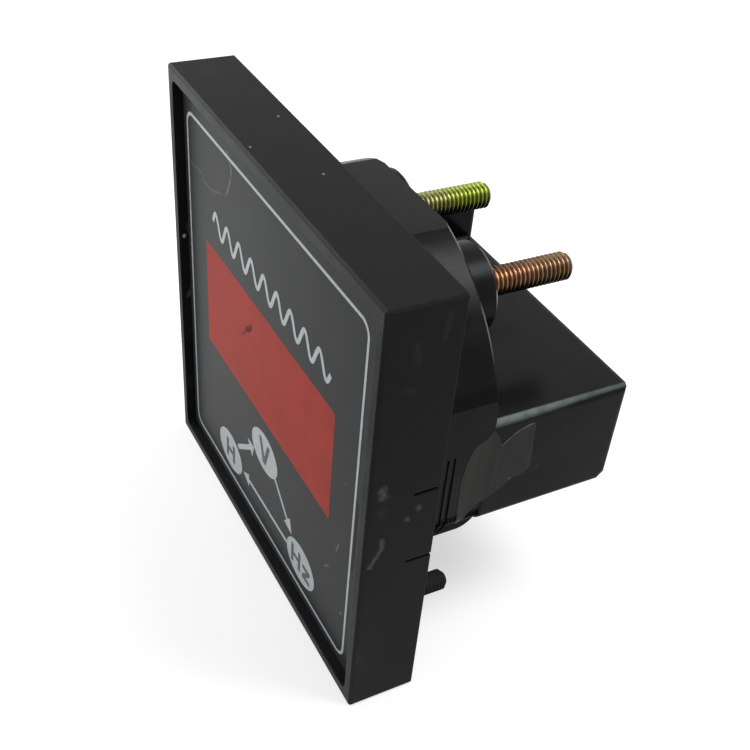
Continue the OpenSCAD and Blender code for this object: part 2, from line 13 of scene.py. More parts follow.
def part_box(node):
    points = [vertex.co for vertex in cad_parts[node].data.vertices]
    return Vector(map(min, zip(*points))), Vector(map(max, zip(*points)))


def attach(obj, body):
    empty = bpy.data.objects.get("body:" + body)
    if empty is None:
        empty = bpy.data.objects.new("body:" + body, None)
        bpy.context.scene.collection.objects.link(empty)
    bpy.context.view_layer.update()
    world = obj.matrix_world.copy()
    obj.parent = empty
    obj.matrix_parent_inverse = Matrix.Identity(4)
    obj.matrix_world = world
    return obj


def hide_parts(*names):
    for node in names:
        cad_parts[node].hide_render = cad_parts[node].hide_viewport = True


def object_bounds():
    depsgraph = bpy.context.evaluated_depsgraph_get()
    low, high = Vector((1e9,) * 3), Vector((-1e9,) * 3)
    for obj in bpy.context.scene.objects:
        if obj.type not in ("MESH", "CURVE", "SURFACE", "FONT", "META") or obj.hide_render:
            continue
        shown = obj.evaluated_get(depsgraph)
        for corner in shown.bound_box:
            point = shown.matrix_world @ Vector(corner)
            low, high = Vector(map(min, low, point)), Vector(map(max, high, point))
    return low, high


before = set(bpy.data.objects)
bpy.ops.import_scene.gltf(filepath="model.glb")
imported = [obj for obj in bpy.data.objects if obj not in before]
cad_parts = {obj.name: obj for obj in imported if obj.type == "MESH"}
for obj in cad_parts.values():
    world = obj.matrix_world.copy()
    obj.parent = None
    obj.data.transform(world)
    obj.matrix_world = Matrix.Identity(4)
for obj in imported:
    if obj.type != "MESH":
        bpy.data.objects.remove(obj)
CAD_LOW, CAD_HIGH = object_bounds()

# ---------------------------------------------------------------- sizes, in millimetres

# Camera: the point it looks along, and where it stands from there
AIM = (9.02, 6.42, -5.15)
DISTANCE = 153.88
AZIMUTH_DEG = 58.2206
ELEVATION_DEG = 39.7797
ROLL_DEG = 6.0637
LENS = 52.517
SHIFT = (-0.01847, 0.06348)

# Face film and its print: the whole print lies a little left and low of the bezel's middle
INK_T = 0.03
FILM_CORNER_R = 1.1
WINDOW_LEFT = -22.8
WINDOW_RIGHT = 20.3
WINDOW_LOW = -8.0
WINDOW_HIGH = 9.65
BORDER_AT = (-1.15, -1.15)
BORDER_HALF = 28.05
BORDER_LINE = 0.48
BORDER_CORNER_R = 1.9
MARK_HALF_W = 4.7
MARK_HALF_H = 3.4
MARK_HOURS_AT = (-14.2, -24.35)
MARK_VOLTS_AT = (-0.75, -13.85)
MARK_HERTZ_AT = (12.6, -24.25)
BAND_LEFT = -19.8
BAND_RIGHT = 18.6
BAND_MIDDLE = 14.35
BAND_H = 3.8
WAVE_LINE = 0.72
WAVE_COUNT = 9

# The torn tape's outline on the right side, as (y, z) places
TAPE_OUTLINE = [
    (12.3, 4.3), (11.5, 3.2), (9.8, 2.2), (9.2, 0.7), (8.7, -1.3), (8.4, -3.8), (8.4, -6.1), (8.5, -8.4),
    (8.8, -11.4), (9.1, -11.7), (9.8, -10.4), (10.6, -9.5), (11.5, -8.6), (13.5, -7.8), (15.4, -6.6),
    (16.5, -5.6), (18.1, -5.3), (19.2, -4.7), (19.4, -3.8), (19.2, -0.7), (18.9, 3.1), (18.5, 3.6),
    (16.5, 3.1), (15.4, 2.4), (14.4, 1.6), (14.0, 1.2), (13.4, 2.6), (12.8, 3.7),
]
TAPE_STEP = 0.5
TAPE_GRID = 0.35
TAPE_TEAR = 0.09
# Where the tape's upper edge has lifted; a painted highlight runs along it
TAPE_LIFTED = [(14.0, 1.2), (14.4, 1.6), (15.4, 2.4), (16.5, 3.1), (18.5, 3.6)]

# Scuffs on the bezel's right side, each as its (y, z) places and its width
SIDE_SMEARS = [
    ([(-1.9, 30.4), (-2.5, 27.3)], 0.7),
    ([(-5.7, 27.2), (-5.2, 25.2)], 0.9),
    ([(-6.5, 21.6), (-5.4, 21.3)], 0.8),
    ([(-9.2, -21.2), (-8.9, -23.0)], 0.9),
    ([(-8.0, 4.2), (-7.6, 3.6)], 0.9),
]
SIDE_SCUFFS = [
    ([(-7.4, -0.9), (-7.3, -2.3), (-7.8, -3.4), (-8.7, -5.0)], 0.6),
    ([(-7.9, 7.6), (-7.7, 6.5)], 1.0),
    ([(-2.8, 3.0), (-2.6, 2.8)], 0.7),
    ([(-4.2, 1.7), (-4.0, 1.4)], 0.6),
]

# Scratches on the face film, each as its (x, z) places and its width
FILM_FAINT_SCRATCH = ([(-28.8, 19.3), (-24.1, 19.7), (-23.1, 18.7), (-20.2, 18.9), (-16.6, 20.2)], 0.26)
FILM_CLEAR_SCRATCH = ([(-14.1, 27.6), (-12.7, 25.6), (-13.1, 23.8), (-14.5, 21.2)], 0.34)
FILM_NICKS = [
    ([(20.0, -17.3), (21.2, -16.0)], 0.3),
    ([(23.0, -11.4), (23.6, -9.8)], 0.3),
    ([(25.4, -21.3), (25.6, -21.0)], 0.4),
]

# Tones of each stud's passivation: start, middle, crests, tip, and the underside's painted shade
YELLOW_TONES = ((0.23, 0.19, 0.10), (0.25, 0.26, 0.07), (0.40, 0.40, 0.20), (0.25, 0.31, 0.04),
                (0.06, 0.07, 0.07))
BRONZE_TONES = ((0.32, 0.17, 0.08), (0.34, 0.14, 0.10), (0.52, 0.36, 0.22), (0.24, 0.17, 0.10),
                (0.08, 0.075, 0.03))

# Studs: an M4 thread
THREAD_R = 2.0
THREAD_PITCH = 0.7
THREAD_DEPTH_SHARE = 0.5413
SHANK_R = 1.75
STUD_BREAK = 0.5
HEAD_FLATS = 7.0
HEAD_H = 2.8

# The drum: its depth from the panel face, its radius, and the spacing of its faint grip lines
DRUM_DEPTH = 12.1
DRUM_R = 27.3
GRIP_LINE_PITCH = 0.56

# The drum's grooves, whose insides get painted light: each row is an axis, the level where they begin to
# show and the level where they show in full
GROOVE_REACH = [("X", 25.12, 25.0), ("X", 24.7, 24.8), ("Z", -14.5, -13.5), ("Z", 2.2, 1.4)]


def mm(*values):
    """Millimetres to metres: a number for one value, and a tuple for more."""
    scaled = tuple(v * 0.001 for v in values)
    return scaled[0] if len(scaled) == 1 else scaled


# ---------------------------------------------------------------- material helpers


class Graph:
    """A material's node tree round one Principled shader, with short calls that add nodes."""

    def __init__(self, name, **constants):
        self.material = bpy.data.materials.new(name)
        self.material.use_nodes = True
        self.tree = self.material.node_tree
        self.shader = self.tree.nodes["Principled BSDF"]
        for key, value in constants.items():
            self.shader.inputs[key.replace("_", " ")].default_value = value
        self.place = self.add("ShaderNodeTexCoord").outputs["Object"]
        self.split = self.add("ShaderNodeSeparateXYZ")
        self.link(self.place, self.split.inputs[0])

    def add(self, kind, **settings):
        node = self.tree.nodes.new(kind)
        for key, value in settings.items():
            setattr(node, key, value)
        return node

    def link(self, source, target):
        self.tree.links.new(source, target)

    def feed(self, target, value):
        if isinstance(value, bpy.types.NodeSocket):
            self.link(value, target)
        else:
            target.default_value = value

    def out(self, key, value):
        """Links a result to one of the shader's sockets."""
        self.link(value, self.shader.inputs[key])

    def axis(self, letter):
        return self.split.outputs[letter]

    def math(self, operation, a, b=0.0):
        node = self.add("ShaderNodeMath", operation=operation)
        self.feed(node.inputs[0], a)
        self.feed(node.inputs[1], b)
        return node.outputs[0]

    def spread(self, value, low, high, out_low=0.0, out_high=1.0):
        """Maps low..high smoothly to out_low..out_high, held at both ends."""
        node = self.add("ShaderNodeMapRange", interpolation_type="SMOOTHSTEP")
        for index, number in enumerate((value, low, high, out_low, out_high)):
            self.feed(node.inputs[index], number)
        return node.outputs[0]

    def stretched(self, scale):
        """The object's own coordinates, scaled along each axis."""
        node = self.add("ShaderNodeMapping")
        self.link(self.place, node.inputs["Vector"])
        node.inputs["Scale"].default_value = scale
        return node.outputs[0]

    def noise(self, size_mm, detail=2.0, roughness=0.5, vector=None, distortion=0.0):
        """Soft noise whose features are about size_mm across."""
        node = self.add("ShaderNodeTexNoise")
        self.link(vector or self.place, node.inputs["Vector"])
        node.inputs["Scale"].default_value = 1000.0 / size_mm
        node.inputs["Detail"].default_value = detail
        node.inputs["Roughness"].default_value = roughness
        node.inputs["Distortion"].default_value = distortion
        return node.outputs[0]

    def specks(self, spacing_mm, size_mm, share):
        """A mask of small round specks: a share of the cells of a spaced pattern holds one."""
        cells = self.add("ShaderNodeTexVoronoi")
        self.link(self.place, cells.inputs["Vector"])
        cells.inputs["Scale"].default_value = 1000.0 / spacing_mm
        tint = self.add("ShaderNodeSeparateColor")
        self.link(cells.outputs["Color"], tint.inputs[0])
        edge = size_mm / spacing_mm
        near = self.spread(cells.outputs["Distance"], edge * 0.5, edge, 1.0, 0.0)
        chosen = self.math("LESS_THAN", tint.outputs[0], share)
        return self.math("MULTIPLY", near, chosen)

    def smear(self, centre, half, soft=0.5):
        """A soft oval mask round a place, both in millimetres along X, Y and Z."""
        node = self.add("ShaderNodeMapping", vector_type="POINT")
        self.link(self.place, node.inputs["Vector"])
        node.inputs["Scale"].default_value = [1000.0 / h for h in half]
        node.inputs["Location"].default_value = [-c / h for c, h in zip(centre, half)]
        length = self.add("ShaderNodeVectorMath", operation="LENGTH")
        self.link(node.outputs[0], length.inputs[0])
        return self.spread(length.outputs["Value"], soft, 1.0, 1.0, 0.0)

    def vector(self, operation, a, b=None, scale=None):
        node = self.add("ShaderNodeVectorMath", operation=operation)
        self.feed(node.inputs[0], a)
        if b is not None:
            self.feed(node.inputs[1], b)
        if scale is not None:
            self.feed(node.inputs["Scale"], scale)
        return node.outputs["Value" if operation in ("LENGTH", "DOT_PRODUCT") else "Vector"]

    def near_line(self, letters, places, width, wobble=0.0, soft=0.5):
        """A mask of a bent line through places in the plane of two axes, in millimetres. wobble
        shifts it unevenly, and soft is the share of its width over which it fades."""
        flat = self.add("ShaderNodeCombineXYZ")
        self.link(self.axis(letters[0]), flat.inputs[0])
        self.link(self.axis(letters[1]), flat.inputs[1])
        here = flat.outputs[0]
        if wobble:
            drift = self.add("ShaderNodeTexNoise")
            self.link(self.place, drift.inputs["Vector"])
            drift.inputs["Scale"].default_value = 1000.0 / 1.1
            centred = self.vector("SUBTRACT", drift.outputs["Color"], (0.5, 0.5, 0.5))
            flat_shift = self.vector("MULTIPLY", centred, (*mm(4 * wobble, 4 * wobble), 0.0))
            here = self.vector("ADD", here, flat_shift)
        nearest = None
        for start, end in zip(places, places[1:]):
            span = Vector((end[0] - start[0], end[1] - start[1], 0.0)) * 0.001
            offset = self.vector("SUBTRACT", here, (*mm(*start), 0.0))
            share = self.vector("DOT_PRODUCT", offset, tuple(span / span.length_squared))
            share = self.math("MINIMUM", self.math("MAXIMUM", share, 0.0), 1.0)
            foot = self.vector("SCALE", tuple(span), scale=share)
            gap = self.vector("LENGTH", self.vector("SUBTRACT", offset, foot))
            nearest = gap if nearest is None else self.math("MINIMUM", nearest, gap)
        half = width / 2
        return self.spread(nearest, mm(half * (1 - soft)), mm(half * (1 + soft)), 1.0, 0.0)

    def union(self, masks):
        """Where any of the masks is."""
        total = masks[0]
        for mask in masks[1:]:
            total = self.math("MAXIMUM", total, mask)
        return total

    def mix(self, factor, a, b):
        """A colour between a and b; each is a colour or another node's colour."""
        node = self.add("ShaderNodeMix", data_type="RGBA")
        self.feed(node.inputs[0], factor)
        self.feed(node.inputs[6], a if isinstance(a, bpy.types.NodeSocket) else (*a, 1.0))
        self.feed(node.inputs[7], b if isinstance(b, bpy.types.NodeSocket) else (*b, 1.0))
        return node.outputs[2]

    def edges(self, radius_mm):
        """A mask that is high where the surface turns within radius_mm, as at a corner."""
        bevel = self.add("ShaderNodeBevel", samples=6)
        bevel.inputs["Radius"].default_value = mm(radius_mm)
        flat = self.add("ShaderNodeNewGeometry")
        dot = self.add("ShaderNodeVectorMath", operation="DOT_PRODUCT")
        self.link(bevel.outputs[0], dot.inputs[0])
        self.link(flat.outputs["Normal"], dot.inputs[1])
        return self.spread(dot.outputs["Value"], 0.999, 0.93, 0.0, 1.0)

    def facing(self, letter, sign):
        """A mask of the faces that look along one of the part's own axes."""
        turned = self.add("ShaderNodeVectorTransform", vector_type="NORMAL")
        turned.convert_from = "WORLD"
        turned.convert_to = "OBJECT"
        self.link(self.add("ShaderNodeNewGeometry").outputs["Normal"], turned.inputs[0])
        parts = self.add("ShaderNodeSeparateXYZ")
        self.link(turned.outputs[0], parts.inputs[0])
        return self.spread(self.math("MULTIPLY", parts.outputs[letter], sign), 0.6, 0.9)

    def bump(self, height, depth_mm, strength=1.0, soften_mm=0.0):
        """Links a relief of this depth to the shader, on corners softened by soften_mm."""
        node = self.add("ShaderNodeBump")
        node.inputs["Strength"].default_value = strength
        node.inputs["Distance"].default_value = mm(depth_mm)
        self.link(height, node.inputs["Height"])
        if soften_mm:
            bevel = self.add("ShaderNodeBevel", samples=6)
            bevel.inputs["Radius"].default_value = mm(soften_mm)
            self.link(bevel.outputs[0], node.inputs["Normal"])
        self.out("Normal", node.outputs[0])


# ---------------------------------------------------------------- outer materials


def bezel_plastic():
    """Fine moulded black plastic, faintly cloudy, scuffed on the right, with painted light on its front
    faces, paler towards the upper left.
    """
    g = Graph("bezel_plastic", Specular_IOR_Level=0.06)
    cloud = g.noise(9.0, 3.0, 0.55)
    grain = g.noise(0.16, 2.0, 0.6)
    patch = g.noise(2.2, 3.0, 0.65)
    base = g.mix(g.spread(cloud, 0.35, 0.7), (0.0058, 0.0060, 0.0064), (0.0085, 0.0088, 0.0092))
    # painted light: the front faces are paler, most of all towards the upper left, where more light falls
    upper = g.spread(g.axis("Z"), mm(26.0), mm(31.5))
    leftward = g.spread(g.axis("X"), mm(30.0), mm(-30.0), 0.55, 1.0)
    painted_light_lip = g.mix(g.math("MULTIPLY", upper, leftward), (0.020, 0.021, 0.020), (0.062, 0.065, 0.064))
    front = g.math("MULTIPLY", g.facing("Y", -1.0), g.spread(patch, 0.2, 0.6, 0.7, 1.0))
    base = g.mix(front, base, painted_light_lip)
    base = g.mix(g.spread(grain, 0.45, 0.75, 0.0, 0.3), base, (0.020, 0.020, 0.021))
    right = g.facing("X", 1.0)
    ragged = g.spread(g.noise(0.5, 3.0, 0.7), 0.34, 0.60, 0.4, 1.0)
    faint = g.union([g.near_line("YZ", places, width, 0.25, 0.95) for places, width in SIDE_SMEARS])
    clear = g.union([g.near_line("YZ", places, width, 0.2, 0.8) for places, width in SIDE_SCUFFS])
    base = g.mix(g.math("MULTIPLY", g.math("MULTIPLY", faint, right), 0.25), base, (0.040, 0.041, 0.042))
    scuff = g.math("MULTIPLY", g.math("MULTIPLY", clear, right), ragged)
    base = g.mix(g.math("MULTIPLY", scuff, 0.8), base, (0.085, 0.086, 0.095))
    worn = g.math("MULTIPLY", g.edges(0.3), g.spread(g.noise(2.2, 4.0, 0.7), 0.42, 0.7))
    base = g.mix(g.math("MULTIPLY", worn, 0.35), base, (0.045, 0.047, 0.045))
    placed = g.union([g.smear((x, y, 32.5), (0.28, 0.22, 1.0), 0.5)
                      for x, y in ((-5.1, -8.7), (4.1, -3.2), (14.2, 0.4), (-12.0, -2.0))])
    dust = g.union([g.specks(5.5, 0.2, 0.2), g.specks(2.1, 0.08, 0.12), placed])
    base = g.mix(g.math("MULTIPLY", dust, 0.75), base, (0.22, 0.22, 0.20))
    fleck = g.smear((-30.8, -8.9, 5.9), (0.6, 0.35, 0.45), 0.5)
    base = g.mix(fleck, base, (0.42, 0.40, 0.30))
    g.out("Base Color", base)
    g.out("Roughness", g.spread(g.math("ADD", cloud, g.math("MULTIPLY", grain, 0.3)), 0.4, 0.9, 0.40, 0.54))
    g.bump(grain, 0.012, 0.6, 0.25)
    return g.material


def drum_plastic():
    """The same plastic as the bezel, glossier: painted shade on the flat sides, painted light in the grooves
    and on the locating post, mould streaks, faint grip lines and dirt near them."""
    g = Graph("drum_plastic", Specular_IOR_Level=0.085)
    cloud = g.noise(6.0, 3.0, 0.55)
    grain = g.noise(0.2, 2.0, 0.6)
    base = g.mix(g.spread(cloud, 0.35, 0.7), (0.0032, 0.0037, 0.0032), (0.0055, 0.0062, 0.0055))
    streak = g.noise(1.6, 3.0, 0.6, g.stretched((1.0, 0.12, 1.0)))
    base = g.mix(g.spread(streak, 0.55, 0.75, 0.0, 0.5), base, (0.010, 0.011, 0.010))
    # painted shade: the flat sides are made near black, standing in for shade and dark reflection
    painted_shade_flats = g.math("MULTIPLY", g.facing("X", 1.0), g.spread(g.axis("X"), mm(24.6), mm(25.0)))
    base = g.mix(painted_shade_flats, base, (0.0009, 0.0010, 0.0009))
    # painted light: the locating post is paler than the same plastic round it
    post = g.smear((24.4, 5.0, -22.8), (3.0, 6.0, 3.0), 0.6)
    base = g.mix(post, base, (0.022, 0.023, 0.022))
    # painted light: the grooves' insides are made paler, to lift the shade in them
    in_groove = g.facing("X", 1.0)
    for letter, begin, full in GROOVE_REACH:
        in_groove = g.math("MULTIPLY", in_groove, g.spread(g.axis(letter), mm(begin), mm(full)))
    base = g.mix(in_groove, base, (0.055, 0.057, 0.055))
    lines = g.math("SINE", g.math("MULTIPLY", g.axis("Y"), 2 * math.pi / mm(GRIP_LINE_PITCH)))
    low_side = g.math("MULTIPLY", painted_shade_flats, g.spread(g.axis("Z"), mm(-1.8), mm(-2.8)))
    grip = g.math("MULTIPLY", low_side, g.spread(g.axis("Y"), mm(8.5), mm(8.2)))
    base = g.mix(g.math("MULTIPLY", grip, g.spread(lines, -0.2, 0.7)), base, (0.010, 0.0105, 0.010))
    dirt = g.math("MULTIPLY", g.smear((25.2, 7.0, -1.2), (1.5, 2.0, 1.2), 0.4), g.specks(0.7, 0.28, 0.45))
    base = g.mix(g.math("MULTIPLY", dirt, 0.5), base, (0.05, 0.05, 0.045))
    base = g.mix(g.math("MULTIPLY", g.specks(3.4, 0.14, 0.2), 0.7), base, (0.2, 0.2, 0.18))
    g.out("Base Color", base)
    rough = g.spread(g.math("ADD", cloud, g.math("MULTIPLY", streak, 0.5)), 0.5, 1.0, 0.23, 0.33)
    squares = [g.math("POWER", g.axis(letter), 2.0) for letter in "XZ"]
    distance = g.math("SQRT", g.math("ADD", *squares))
    curve = g.spread(distance, mm(DRUM_R - 0.6), mm(DRUM_R - 0.3))
    under = g.math("MULTIPLY", g.spread(g.axis("Z"), mm(-8.0), mm(-10.4)), curve)
    g.out("Roughness", g.math("MAXIMUM", rough, under))
    g.bump(grain, 0.008, 0.5)
    return g.material


def case_plastic():
    """Glossy black plastic of the rear case, with painted light on its top faces and a painted highlight
    along its top edge at the right.
    """
    g = Graph("case_plastic", Specular_IOR_Level=0.07)
    cloud = g.noise(7.0, 3.0, 0.5)
    grain = g.noise(0.22, 2.0, 0.6)
    base = g.mix(g.spread(cloud, 0.35, 0.7), (0.0032, 0.0034, 0.0032), (0.0052, 0.0056, 0.0052))
    # painted light: the top faces are paler than the sides, as light from above makes them
    base = g.mix(g.facing("Z", 1.0), base, (0.0085, 0.0088, 0.0088))
    broken = g.spread(g.noise(2.4, 4.0, 0.65), 0.30, 0.62)
    worn = g.math("MULTIPLY", g.edges(0.45), broken)
    base = g.mix(g.math("MULTIPLY", worn, 0.25), base, (0.05, 0.055, 0.05))
    # painted highlight: a pale line along the top edge at the right, widest towards the front
    taper = g.spread(g.axis("Y"), mm(34.0), mm(12.0), 0.38, 0.85)
    highlight_gap = g.math("ABSOLUTE", g.math("SUBTRACT", g.axis("Z"), mm(5.15)))
    painted_highlight = g.spread(highlight_gap, mm(0.1), g.math("MULTIPLY", taper, mm(1.0)), 1.0, 0.0)
    painted_highlight = g.math("MULTIPLY", painted_highlight, g.spread(g.axis("X"), mm(24.15), mm(24.5)))
    painted_highlight = g.math("MULTIPLY", painted_highlight, g.spread(g.noise(2.4, 3.0, 0.6), 0.25, 0.6, 0.65, 1.0))
    painted_highlight = g.math("MULTIPLY", painted_highlight, g.spread(g.axis("Y"), mm(32.0), mm(14.0), 0.5, 1.0))
    base = g.mix(painted_highlight, base, (0.155, 0.185, 0.160))
    crescent = g.near_line("YZ", [(20.0, -5.4), (20.5, -5.0), (20.7, -4.4)], 0.3)
    crescent = g.math("MULTIPLY", crescent, g.facing("X", 1.0))
    base = g.mix(g.math("MULTIPLY", crescent, 0.35), base, (0.05, 0.05, 0.05))
    dust = g.union([g.specks(4.0, 0.15, 0.18), g.specks(1.8, 0.08, 0.08)])
    base = g.mix(g.math("MULTIPLY", dust, 0.6), base, (0.15, 0.15, 0.14))
    g.out("Base Color", base)
    g.out("Roughness", g.spread(cloud, 0.3, 0.7, 0.17, 0.25))
    g.bump(grain, 0.006, 0.3, 0.8)
    return g.material


def label_film():
    """Matte grey printed film, with fine tooth, dust, old curved scratches, a dark smudge and painted shade
    that darkens it towards the right.
    """
    g = Graph("label_film", Specular_IOR_Level=0.035)
    cloud = g.noise(11.0, 3.0, 0.5)
    tooth = g.noise(0.12, 2.0, 0.6)
    base = g.mix(g.spread(cloud, 0.3, 0.75), (0.039, 0.041, 0.0405), (0.046, 0.048, 0.047))
    # painted shade: the film darkens towards the right, where less light falls
    painted_shade_rightward = g.spread(g.axis("X"), mm(-26.0), mm(28.0), 0.0, 0.6)
    base = g.mix(painted_shade_rightward, base, (0.022, 0.023, 0.0225))
    base = g.mix(g.spread(tooth, 0.4, 0.75, 0.0, 0.4), base, (0.060, 0.062, 0.061))
    ragged = g.spread(g.noise(0.8, 3.0, 0.7), 0.36, 0.56, 0.3, 1.0)
    faint = g.near_line("XZ", *FILM_FAINT_SCRATCH)
    clear = g.near_line("XZ", *FILM_CLEAR_SCRATCH)
    small = g.union([g.near_line("XZ", *nick) for nick in FILM_NICKS])
    scratch = g.union([g.math("MULTIPLY", faint, 0.55), clear, g.math("MULTIPLY", small, 0.8)])
    base = g.mix(g.math("MULTIPLY", g.math("MULTIPLY", scratch, ragged), 0.75), base, (0.20, 0.20, 0.20))
    smudge = g.near_line("XZ", [(27.5, 1.0), (27.75, -5.0), (27.6, -10.6)], 0.7)
    base = g.mix(g.math("MULTIPLY", smudge, 0.8), base, (0.006, 0.006, 0.006))
    dust = g.union([g.specks(6.0, 0.16, 0.25), g.specks(2.4, 0.08, 0.12)])
    base = g.mix(g.math("MULTIPLY", dust, 0.7), base, (0.25, 0.25, 0.23))
    g.out("Base Color", base)
    g.out("Roughness", g.spread(tooth, 0.3, 0.7, 0.30, 0.40))
    g.bump(tooth, 0.006, 0.5)
    return g.material


def window_film():
    """Red semi-matte filter, faintly mottled, with dust and one dark mark with a tail."""
    g = Graph("window_film", Specular_IOR_Level=0.02)
    cloud = g.noise(6.0, 3.0, 0.6)
    tooth = g.noise(0.15, 2.0, 0.6)
    base = g.mix(g.spread(cloud, 0.3, 0.7), (0.33, 0.040, 0.029), (0.39, 0.053, 0.040))
    base = g.mix(g.spread(tooth, 0.45, 0.8, 0.0, 0.4), base, (0.45, 0.070, 0.054))
    tail = g.near_line("XZ", [(-8.9, 2.0), (-7.6, 3.6)], 0.35)
    head = g.near_line("XZ", [(-7.5, 3.7), (-6.5, 4.4), (-6.0, 5.1)], 0.85)
    mark = g.math("MULTIPLY", g.union([tail, head]), g.spread(g.noise(0.5, 3.0, 0.7), 0.3, 0.5, 0.5, 1.0))
    base = g.mix(mark, base, (0.085, 0.012, 0.010))
    dust = g.union([g.specks(3.6, 0.2, 0.35), g.specks(1.7, 0.1, 0.2)])
    base = g.mix(g.math("MULTIPLY", dust, 0.7), base, (0.66, 0.34, 0.26))
    g.out("Base Color", base)
    g.out("Roughness", g.spread(cloud, 0.3, 0.7, 0.34, 0.42))
    g.bump(tooth, 0.004, 0.4)
    return g.material


def light_ink():
    """Light grey screen print, thin and a little uneven."""
    g = Graph("light_ink", Specular_IOR_Level=0.4)
    thin = g.noise(0.7, 3.0, 0.65)
    weave = g.noise(0.12, 1.0, 0.5)
    base = g.mix(g.spread(thin, 0.3, 0.7), (0.38, 0.42, 0.43), (0.50, 0.54, 0.55))
    base = g.mix(g.spread(weave, 0.5, 0.8, 0.0, 0.35), base, (0.32, 0.35, 0.36))
    g.out("Base Color", base)
    g.out("Roughness", g.spread(thin, 0.3, 0.7, 0.45, 0.6))
    g.bump(weave, 0.004, 0.5)
    return g.material


def dark_ink():
    """Dark grey print of the unit signs."""
    g = Graph("dark_ink", Specular_IOR_Level=0.4)
    thin = g.noise(0.5, 3.0, 0.65)
    g.out("Base Color", g.mix(g.spread(thin, 0.3, 0.7), (0.035, 0.045, 0.045), (0.065, 0.075, 0.075)))
    g.out("Roughness", g.spread(thin, 0.3, 0.7, 0.45, 0.6))
    g.bump(thin, 0.003, 0.4)
    return g.material


def dull_tape():
    """Thin dull tape with fine pulled lines, lint, and a painted highlight along its upper edge where it has
    lifted.
    """
    g = Graph("dull_tape", Specular_IOR_Level=0.10)
    cloud = g.noise(4.0, 3.0, 0.55)
    pulled = g.noise(0.5, 2.0, 0.5, g.stretched((1.0, 1.0, 0.06)))
    base = g.mix(g.spread(cloud, 0.3, 0.7), (0.017, 0.018, 0.0165), (0.024, 0.025, 0.022))
    forward = g.spread(g.axis("Y"), mm(14.0), mm(8.5))
    base = g.mix(forward, base, (0.034, 0.034, 0.030))
    base = g.mix(g.spread(pulled, 0.5, 0.8, 0.0, 0.5), base, (0.036, 0.037, 0.034))
    crease = g.near_line("YZ", [(14.0, 1.2), (13.7, -2.5), (13.4, -7.6)], 0.35, 0.1, 0.9)
    base = g.mix(g.math("MULTIPLY", crease, 0.25), base, (0.045, 0.045, 0.045))
    # painted highlight: a pale line along the lifted upper edge, where it catches the light
    lifted_edge_highlight = g.near_line("YZ", TAPE_LIFTED, 0.28, 0.05, 0.8)
    base = g.mix(g.math("MULTIPLY", lifted_edge_highlight, 0.8), base, (0.15, 0.16, 0.15))
    lint = g.union([g.specks(1.5, 0.1, 0.2), g.smear((25.2, 16.3, -5.5), (1.0, 0.25, 0.25), 0.3)])
    base = g.mix(g.math("MULTIPLY", lint, 0.5), base, (0.16, 0.16, 0.14))
    g.out("Base Color", base)
    g.out("Roughness", g.spread(pulled, 0.3, 0.7, 0.42, 0.6))
    g.bump(pulled, 0.02, 0.5)
    return g.material


def passivated(name, centre, colours, root_shade_share):
    """Zinc plate with an iridescent passivation: colour drifts along and round the stud, and the thread's
    roots are darkened as painted shade. centre is the stud's axis as (x, z) in millimetres; colours holds
    the tones of its start, middle, crests, tip and underside, the last a painted shade."""
    start, middle, crest, tip, under = colours
    g = Graph(name, Metallic=1.0)
    across = g.math("SUBTRACT", g.axis("X"), mm(centre[0]))
    up = g.math("SUBTRACT", g.axis("Z"), mm(centre[1]))
    squares = g.math("ADD", g.math("POWER", across, 2.0), g.math("POWER", up, 2.0))
    height = g.spread(g.math("SQRT", squares), mm(1.66), mm(1.97))
    drift = g.noise(3.2, 3.0, 0.6, distortion=0.6)
    colour = g.mix(g.spread(drift, 0.35, 0.65), start, middle)
    fleck = g.spread(g.noise(0.9, 3.0, 0.65), 0.46, 0.62)
    colour = g.mix(g.math("MULTIPLY", fleck, 0.6), colour, crest)
    end = g.spread(g.math("ADD", g.axis("Y"), g.math("MULTIPLY", drift, mm(4.0))), mm(20.0), mm(31.0))
    colour = g.mix(g.math("MULTIPLY", end, 0.8), colour, tip)
    # painted shade: the underside takes the darker under tone
    shaded_below = g.spread(g.math("SUBTRACT", up, g.math("MULTIPLY", across, 0.35)), mm(-0.2), mm(-1.5))
    colour = g.mix(g.math("MULTIPLY", shaded_below, 0.85), colour, under)
    # painted shade: the thread's roots are darkened
    root = g.mix(1.0 - root_shade_share, colour, (0.012, 0.012, 0.010))
    colour = g.mix(height, root, colour)
    g.out("Base Color", colour)
    g.out("Roughness", g.spread(g.noise(0.5, 3.0, 0.6), 0.3, 0.7, 0.30, 0.48))
    g.bump(g.noise(0.15, 2.0, 0.6), 0.01, 0.5)
    return g.material


# ---------------------------------------------------------------- inner materials


def mottled(name, dark, pale, size_mm, rough=(0.35, 0.5), relief_mm=0.01, **constants):
    """A plain moulded or coated surface: two tones in soft clouds, with a fine relief."""
    g = Graph(name, **constants)
    cloud = g.noise(size_mm, 3.0, 0.6)
    grain = g.noise(size_mm * 0.08, 2.0, 0.6)
    base = g.mix(g.spread(cloud, 0.3, 0.7), dark, pale)
    g.out("Base Color", g.mix(g.spread(grain, 0.5, 0.8, 0.0, 0.3), base, pale))
    g.out("Roughness", g.spread(grain, 0.3, 0.7, *rough))
    g.bump(grain, relief_mm, 0.5)
    return g


def body_with_leads(name, dark, pale, body_low, body_high):
    """A part whose body fills the box between two corners in millimetres, and whose leads, bare
    tinned metal, are what stands out of it. Each corner may hold None where the body has no end."""
    g = mottled(name, dark, pale, 2.0)
    inside = None
    for letter, low, high in zip("XYZ", body_low, body_high):
        for limit, test in ((low, "GREATER_THAN"), (high, "LESS_THAN")):
            if limit is None:
                continue
            side = g.math(test, g.axis(letter), mm(limit))
            inside = side if inside is None else g.math("MULTIPLY", inside, side)
    body_colour = g.shader.inputs["Base Color"].links[0].from_socket
    tin = g.mix(g.noise(0.4, 2.0, 0.6), (0.50, 0.50, 0.48), (0.68, 0.68, 0.66))
    g.out("Base Color", g.mix(inside, tin, body_colour))
    g.out("Metallic", g.math("SUBTRACT", 1.0, inside))
    return g.material


